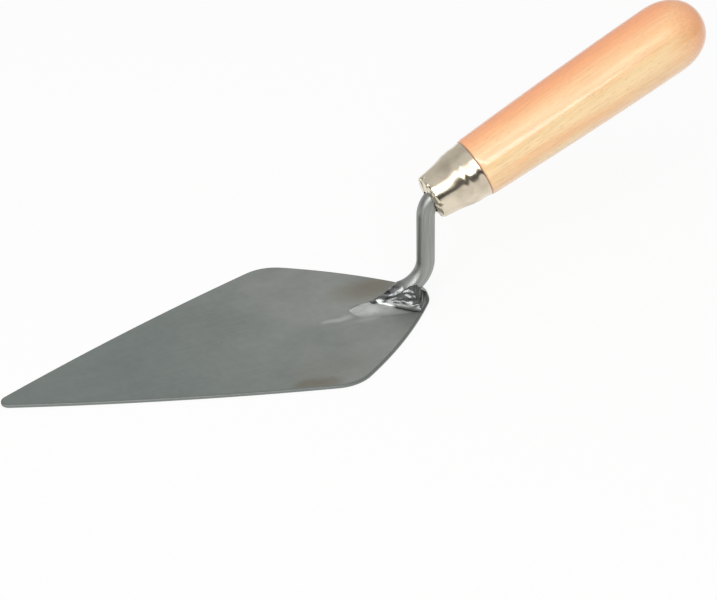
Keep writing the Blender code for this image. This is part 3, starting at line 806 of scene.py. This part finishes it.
def weld_finish(weld):
    """Wire-brushed, lacquered weld: bright, lumpy, with painted shade along the toe and dark at the heel.

    In front of the lumps it is ground to a paler, blotchy satin that fades into the blade's grey.
    """
    made, add, shader = blank_material("wire_brushed_weld_metal")
    layers = ("ground", "lumps", "soot")
    ground, lumps, soot = [add("Attribute", output="Fac", attribute_name=layer) for layer in layers]
    place = add("TexCoord", output="Object")
    blotches = add("TexNoise", {"Vector": place, "Scale": per_mm(3.5), "Detail": 4.0})
    patchy = add("MapRange", [blotches, 0.35, 0.6, 0.55, 1.0])
    paler = add("Math", [ground, patchy], operation="MULTIPLY")
    colour = weld.metal_rim
    # The dark colour is painted shade along the toe and by the rod, and darkens the boss and far side
    for share, metal in ((paler, weld.metal_ground), (lumps, weld.metal), (soot, weld.metal_dark)):
        colour = add("Mix", [share, colour, metal], **COLOURS)
    grain = add("TexNoise", {"Vector": place, "Scale": per_mm(1.6), "Detail": 3.0})
    rough = add("MapRange", [grain, *NOISE, *weld.rough])
    rough = add("Mix", [lumps, weld.ground_rough, rough])
    set_inputs(shader, {"Base Color": colour, "Metallic": 1.0, "Roughness": rough})
    return made


def ferrule_radius(ferrule, along):
    """Outer radius: a cone that swells by a smooth step up to the groove, then a straight skirt.

    The skirt flares at its end by another smooth step.
    """
    cone = ferrule.mouth + ferrule.taper * np.minimum(along, ferrule.crease)
    swelling = ferrule.swell * smooth_share(along, ferrule.swell_from, ferrule.swell_to)
    return cone + swelling + ferrule.flare * smooth_share(along, ferrule.flare_from, ferrule.length)


def ferrule_profile(ferrule, around):
    """Radius and distance along of the closed profile: lip, rounded mouth, outside, rim, inside, lip again.

    The lip runs in to a round hole that lies off the axis, so its radius changes round it.
    """
    corner = np.linspace(-QUARTER, 0, CORNER_ROWS)[:, None]
    corner_radius = ferrule_radius(ferrule, ferrule.mouth_round) - ferrule.mouth_round
    run = np.linspace(ferrule.mouth_round, ferrule.length - EDGE_BREAK, CONE_ROWS)[1:, None]
    back = np.linspace(ferrule.length, ferrule.wall, INSIDE_ROWS)[:, None]
    lip = np.linspace(0, 1, LIP_ROWS, endpoint=False)[:, None]
    hole = ferrule.hole_drop * np.cos(around)
    hole = hole + np.sqrt(ferrule.hole**2 - (ferrule.hole_drop * np.sin(around)) ** 2)
    each = np.ones(len(around))
    radius = np.concatenate([
        hole + (corner_radius - hole) * lip,
        (corner_radius + ferrule.mouth_round * np.cos(corner)) * each,
        ferrule_radius(ferrule, run) * each,
        [(ferrule_radius(ferrule, ferrule.length) - EDGE_BREAK) * each],
        (ferrule_radius(ferrule, back) - ferrule.wall) * each,
        [hole],
    ])
    along = np.concatenate([
        ferrule.lip_dome * (lip - 1),
        ferrule.mouth_round * (1 + np.sin(corner)),
        run,
        [[ferrule.length]],
        back,
        [[ferrule.wall - ferrule.lip_dome]],
    ])
    return radius, along * each


# How unevenly the crimps are spaced, and the finer creases between them: their count, depth and phase
CRIMP_DRIFT = 0.6
CREASES, CREASE_SHARE, CREASE_PHASE = 11, 0.6, 1.3
# The ferrule's mean radius, which turns an angle into a distance round it
MEAN_RADIUS = 0.009


def ferrule_surface(ferrule, handle):
    """The ferrule's profile turned round the handle's axis, pressed and crimped.

    A groove, a bell curve along the axis, follows the crease. The crimp marks are the upper half of two sines
    round the mouth, and fade up the cone by a bell curve. Smooth waves make the sheet uneven.
    """
    around = full_turn(FERRULE_ROUND)
    radius, along = ferrule_profile(ferrule, around)
    groove = ferrule.groove_depth * bell(along - ferrule.crease, ferrule.groove_width)
    folds = np.sin(ferrule.crimps * around + CRIMP_DRIFT * np.sin(2 * around))
    folds = folds + CREASE_SHARE * np.sin(CREASES * around + CREASE_PHASE)
    dent = ferrule.crimp_depth * np.clip(folds, 0, None) * bell(along, ferrule.crimp_reach)
    wobble = ferrule.wobble * waves(along, MEAN_RADIUS * around, *FERRULE_WAVES)
    points = turned_on_handle(handle, radius - groove - dent + wobble, along + ferrule.crimp_push * dent)
    return fill_mesh("ferrule_cup", points, wrap_rows=True)


def ferrule_finish(ferrule):
    """Nickel-plated pressed steel: mirror-like and warm, dulled in patches where it has been handled."""
    made, add, shader = blank_material("nickel_plated_steel")
    place = add("TexCoord", output="Object")
    smudge = add("TexNoise", {"Vector": place, "Scale": per_mm(7), "Detail": 4.0})
    dulled = add("MapRange", [smudge, 0.4, 0.65])
    colour = add("Mix", [dulled, ferrule.nickel, ferrule.nickel_dull], **COLOURS)
    rough = add("MapRange", [smudge, 0.35, 0.7, *ferrule.rough])
    set_inputs(shader, {"Base Color": colour, "Metallic": 1.0, "Roughness": rough})
    return made


def handle_surface(handle, ferrule):
    """The wood turned round its axis: bore, spigot, grip and round end in one profile of radius and distance.

    The grip's front edge is a quarter ellipse, its swelling 1 - (1 - share) ** swell, and its end a fuller
    ellipse. "burnish" is 1 at the ferrule, and "end_grain" rises over the round end.
    """
    start, full = ferrule.length + handle.joint_gap, ferrule.length + handle.grip
    widest, grip_start = full - handle.end, start + handle.front_round
    joint = ferrule_radius(ferrule, ferrule.length)
    seat = np.linspace(ferrule.wall + handle.gap, start, SEAT_ROWS)
    soften = np.linspace(0, QUARTER, FRONT_ROWS)
    share = np.linspace(0, 1, GRIP_ROWS)[1:-1]
    cap = np.linspace(0, QUARTER, CAP_ROWS)[:-1]
    rounding = 2 / handle.fullness
    radius = np.concatenate([
        [0, handle.bore, handle.bore],
        ferrule_radius(ferrule, seat) - ferrule.wall - handle.gap,
        joint + (handle.front - joint) * np.sin(soften),
        handle.front + (handle.radius - handle.front) * (1 - (1 - share) ** handle.swell),
        handle.radius * np.cos(cap) ** rounding,
        [0],
    ])
    along = np.concatenate([
        [handle.bore_depth, handle.bore_depth, seat[0]],
        seat,
        start + handle.front_round * (1 - np.cos(soften)),
        grip_start + (widest - grip_start) * share,
        widest + handle.end * np.sin(cap) ** rounding,
        [full],
    ])
    radius, along = [np.repeat(line[:, None], HANDLE_ROUND, axis=1) for line in (radius, along)]
    attributes = {
        "burnish": bell(along - start, handle.joint_line),
        "end_grain": handle.end_share * smooth_share(along, widest - handle.end / 2, full),
    }
    return fill_mesh("handle_grip", turned_on_handle(handle, radius, along), attributes=attributes)


# The side towards which the wood turns redder, up and to the far side, across the handle in its own frame,
# where +X is the underside
REDDER_SIDE = (-0.78, 0.63, 0.0)
# The wood turns pink from the first share of the radius towards that side to the second
REDDENING = -0.15, 1.0
# The wood's patterns: width across the handle and length along it, in millimetres, and the noise's detail.
# Flecks, fibres and pores are drawn coarser than real ones so that they show.
GRAIN = {
    "bands": (3.2, 70, 2.0),
    "clouds": (5, 34, 3.0),
    "flecks": (0.4, 2.2, 2.0),
    "fibres": (0.35, 18, 2.0),
    "pores": (0.9, 5, 3.0),
}


def handle_finish(handle):
    """Turned beech under glossy clear lacquer: pale peach, soft bands and fine flecks along the grain."""
    made, add, shader = blank_material("lacquered_turned_beech")
    corner, turned, _ = crank(bpy.context.scene.trowel_shank, handle)
    place = add("TexCoord", output="Object")
    own_frame = {"Vector": place, "Location": tuple(corner), "Rotation": (0, turned, 0)}
    grain = {}
    for name, (across, along, detail) in GRAIN.items():
        size = (across / 1000, across / 1000, along / 1000)
        at = add("Mapping", {**own_frame, "Scale": size}, **IN_UNITS)
        grain[name] = add("TexNoise", {"Vector": at, "Scale": 1.0, "Detail": detail})
    bands = add("MapRange", [grain["bands"], 0.38, 0.64])
    flecks = add("MapRange", [grain["flecks"], 0.56, 0.74, 0.0, 0.42])
    radii = (handle.radius, handle.radius, 1.0)
    at = add("Mapping", {**own_frame, "Scale": radii}, **IN_UNITS)
    toward_redder = add("VectorMath", [at, REDDER_SIDE], operation="DOT_PRODUCT")
    redder = add("MapRange", [toward_redder, *REDDENING], **EASED)
    end_grain = add("Attribute", output="Fac", attribute_name="end_grain")
    pink = add("MapRange", [grain["clouds"], 0.45, 0.75, 0.0, 0.5])
    for share in (redder, end_grain):
        pink = add("Math", [pink, share], operation="MAXIMUM")
    colour = handle.wood_pale
    for share, wood in ((bands, handle.wood_mid), (pink, handle.wood_pink), (flecks, handle.fleck)):
        colour = add("Mix", [share, colour, wood], **COLOURS)
    shade = add("MapRange", [grain["fibres"], *NOISE, 0.91, 1.06])
    colour = add("Mix", [1.0, colour, shade], blend_type="MULTIPLY", **COLOURS)
    burnt = add("Attribute", output="Fac", attribute_name="burnish")
    colour = add("Mix", [burnt, colour, handle.burnish], **COLOURS)
    bump = add("Bump", {"Height": grain["pores"], "Strength": 0.06, "Distance": 0.0001})
    set_inputs(shader, {"Base Color": colour, "Roughness": handle.rough, "IOR": 1.5, "Normal": bump})
    coat = {"Weight": 1.0, "Roughness": handle.coat_rough, "IOR": 1.6, "Normal": bump}
    set_inputs(shader, {"Coat " + key: value for key, value in coat.items()})
    return made


class TROWEL_OT_blade(bpy.types.Operator):
    """Makes the flat steel blade"""

    bl_idname = "trowel.blade"
    bl_label = "Blade"

    def execute(self, context):
        blade = context.scene.trowel_blade
        add_piece(blade_surface(blade), blade_finish(blade), "blade_steel", "blade", sharp=SHARP_EDGE)
        return {"FINISHED"}


class TROWEL_OT_shank(bpy.types.Operator):
    """Makes the bent rod from the foot to the tang"""

    bl_idname = "trowel.shank"
    bl_label = "Shank"

    def execute(self, context):
        shank = context.scene.trowel_shank
        mesh = shank_surface(shank, context.scene.trowel_handle)
        add_piece(mesh, shank_finish(shank), "shank_steel", "shank", sharp=SHARP_ROD)
        return {"FINISHED"}


class TROWEL_OT_weld(bpy.types.Operator):
    """Makes the lumpy weld metal that joins the foot to the heel"""

    bl_idname = "trowel.weld"
    bl_label = "Weld"

    def execute(self, context):
        weld = context.scene.trowel_weld
        mesh = weld_surface(weld, context.scene.trowel_shank, context.scene.trowel_blade)
        add_piece(mesh, weld_finish(weld), "weld_steel", "weld_bead_left", "weld_bead_right")
        return {"FINISHED"}


class TROWEL_OT_ferrule(bpy.types.Operator):
    """Makes the plated ferrule"""

    bl_idname = "trowel.ferrule"
    bl_label = "Ferrule"

    def execute(self, context):
        ferrule = context.scene.trowel_ferrule
        mesh = ferrule_surface(ferrule, context.scene.trowel_handle)
        add_piece(mesh, ferrule_finish(ferrule), "ferrule_nickel", "ferrule", sharp=SHARP_EDGE)
        return {"FINISHED"}


class TROWEL_OT_handle(bpy.types.Operator):
    """Makes the turned wooden handle"""

    bl_idname = "trowel.handle"
    bl_label = "Handle"

    def execute(self, context):
        handle = context.scene.trowel_handle
        mesh = handle_surface(handle, context.scene.trowel_ferrule)
        add_piece(mesh, handle_finish(handle), "handle_wood", "handle", sharp=SHARP_EDGE)
        return {"FINISHED"}


# The camera's sensor in millimetres, and the nearest thing that it shows in metres
SENSOR_WIDTH = 36.0
NEAREST_SEEN = 0.01


def add_camera(stage):
    """A camera at azimuth and elevation, aimed at a point beside the middle of the blade, tilted by roll."""
    turned = Matrix.Rotation(stage.azimuth, 3, "Z") @ Matrix.Rotation(QUARTER - stage.elevation, 3, "X")
    turned = turned @ Matrix.Rotation(stage.roll, 3, "Z")
    middle = Vector(((BLADE_LOW.x + BLADE_HIGH.x) / 2, 0, BLADE_LOW.z))
    eye = middle + turned @ Vector((stage.aim_right, stage.aim_up, stage.distance))
    lens = bpy.data.cameras.new("camera")
    lens.sensor_fit = "HORIZONTAL"
    lens.sensor_width = SENSOR_WIDTH
    lens.lens = stage.focal
    lens.clip_start = NEAREST_SEEN
    camera = add_object(lens)
    camera.matrix_world = Matrix.LocRotScale(eye, turned, None)
    bpy.context.scene.camera = camera


def add_soft_light(name, direction, distance, size, watts, roll):
    """A soft light, size wide and high, that faces the middle of the trowel, turned about its own axis."""
    lamp = bpy.data.lights.new(name, "AREA")
    lamp.shape = "RECTANGLE"
    lamp.size, lamp.size_y = size
    lamp.energy = watts
    middle = (Vector(CAD_BOX[0]) + Vector(CAD_BOX[1])) / 2
    toward = Vector(direction).normalized()
    facing = toward.to_track_quat("Z", "Y") @ Quaternion((0, 0, 1), roll)
    add_object(lamp).matrix_world = Matrix.LocRotScale(middle + toward * distance, facing, None)


def add_floor(stage):
    """A pale matt floor. The camera and reflections see it part white, which lightens its shadow."""
    reach, height = stage.floor_reach, BLADE_LOW.z - FLOOR_DROP
    mesh = bpy.data.meshes.new("floor")
    corners = [(reach * x, reach * y, height) for x, y in ((-1, -1), (1, -1), (1, 1), (-1, 1))]
    mesh.from_pydata(corners, [], [(0, 1, 2, 3)])
    made, add, shader = blank_material("pale_matt_floor")
    set_inputs(shader, {"Base Color": stage.floor, "Roughness": 0.9, "Specular IOR Level": 0.0})
    white = add("Emission", {"Color": linear("#ffffff"), "Strength": 1.0})
    rays = add("LightPath").node.outputs
    seen = rays["Is Camera Ray"]
    for ray in ("Is Glossy Ray", "Is Transmission Ray"):
        seen = add("Math", [seen, rays[ray]], operation="MAXIMUM")
    share = add("Math", [seen, stage.floor_glow], operation="MULTIPLY")
    look = add("MixShader", [share, shader.outputs[0], white])
    set_inputs(made.node_tree.nodes["Material Output"], {"Surface": look})
    mesh.materials.append(made)
    floor = add_object(mesh)


# From the trowel towards each light, its distance, and its width and height. The long key light stands in
# front of the trowel, to the left.
KEY_DIRECTION = tuple(Vector((-0.38, -0.69, 0.62)).normalized())
KEY_DISTANCE, KEY_SIZE = 1.25, (1.4, 0.26)
FILL_DIRECTION = (-0.85, -0.35, 0.4)
FILL_DISTANCE, FILL_SIZE = 1.3, (0.8, 0.8)
# On a sphere of radius 1 round the trowel: heights between which the room brightens and the glow begins, how
# far back the backdrop takes over, and the cosine from the light's middle within which the glow lies
SKY_RISE = 0.25, 0.85
GLOW_RISE = 0.3, 0.6
BACKDROP_START = -0.2, 0.4
GLOW_SPREAD = 0.87, 1.0


def add_room(stage):
    """Light from all round: a pale backdrop behind, and in front a room that is dim at floor level.

    The room glows round the long light, which stands for the light's diffuser.
    """
    world = bpy.data.worlds.new("studio")
    world.use_nodes = True
    add = partial(add_node, world.node_tree)
    place = add("TexCoord", output="Generated")
    height = add("SeparateXYZ", [place], output="Z")
    front = add("MapRange", [height, *SKY_RISE, stage.horizon, stage.sky], **EASED)
    toward = add("VectorMath", [place, KEY_DIRECTION], operation="DOT_PRODUCT")
    glow = add("MapRange", [toward, *GLOW_SPREAD, 0.0, stage.glow], **EASED)
    above = add("MapRange", [height, *GLOW_RISE], **EASED)
    glow = add("Math", [glow, above], operation="MULTIPLY")
    lit = add("Math", [front, glow], operation="ADD")
    away = (math.sin(-stage.azimuth), math.cos(stage.azimuth), 0)
    behind = add("VectorMath", [place, away], operation="DOT_PRODUCT")
    share = add("MapRange", [behind, *BACKDROP_START], **EASED)
    level = add("Mix", [share, lit, stage.backdrop])
    set_inputs(world.node_tree.nodes["Background"], {"Color": linear("#ffffff"), "Strength": level})
    bpy.context.scene.world = world


class TROWEL_OT_stage(bpy.types.Operator):
    """Makes the floor, the light and the camera"""

    bl_idname = "trowel.stage"
    bl_label = "Stage"

    def execute(self, context):
        stage = context.scene.trowel_stage
        add_floor(stage)
        add_room(stage)
        add_soft_light("key", KEY_DIRECTION, KEY_DISTANCE, KEY_SIZE, stage.key_watts, stage.key_roll)
        add_soft_light("fill", FILL_DIRECTION, FILL_DISTANCE, FILL_SIZE, stage.fill_watts, 0.0)
        add_camera(stage)
        context.scene.view_settings.view_transform = "Standard"
        return {"FINISHED"}


OPERATORS = (
    TROWEL_OT_blade,
    TROWEL_OT_shank,
    TROWEL_OT_weld,
    TROWEL_OT_ferrule,
    TROWEL_OT_handle,
    TROWEL_OT_stage,
)

SETTINGS = {
    "trowel_blade": BladeSettings,
    "trowel_shank": ShankSettings,
    "trowel_weld": WeldSettings,
    "trowel_ferrule": FerruleSettings,
    "trowel_handle": HandleSettings,
    "trowel_stage": StageSettings,
}


class TROWEL_PT_panel(bpy.types.Panel):
    """Lists the pieces and their settings"""

    bl_label = "Trowel"
    bl_idname = "TROWEL_PT_panel"
    bl_space_type = "VIEW_3D"
    bl_region_type = "UI"
    bl_category = "Trowel"

    def draw(self, context):
        for name, operator in zip(SETTINGS, OPERATORS):
            box = self.layout.box()
            box.operator(operator.bl_idname)
            settings = getattr(context.scene, name)
            for key in settings.__annotations__:
                box.prop(settings, key)


def register():
    for kind in (*SETTINGS.values(), *OPERATORS, TROWEL_PT_panel):
        bpy.utils.register_class(kind)
    for name, kind in SETTINGS.items():
        setattr(bpy.types.Scene, name, PointerProperty(type=kind))


def unregister():
    for name in SETTINGS:
        delattr(bpy.types.Scene, name)
    for kind in reversed((*SETTINGS.values(), *OPERATORS, TROWEL_PT_panel)):
        bpy.utils.unregister_class(kind)


def main():
    register()
    bpy.ops.trowel.stage()
    bpy.ops.trowel.blade()
    bpy.ops.trowel.shank()
    bpy.ops.trowel.weld()
    bpy.ops.trowel.ferrule()
    bpy.ops.trowel.handle()


if __name__ == "__main__":
    main()
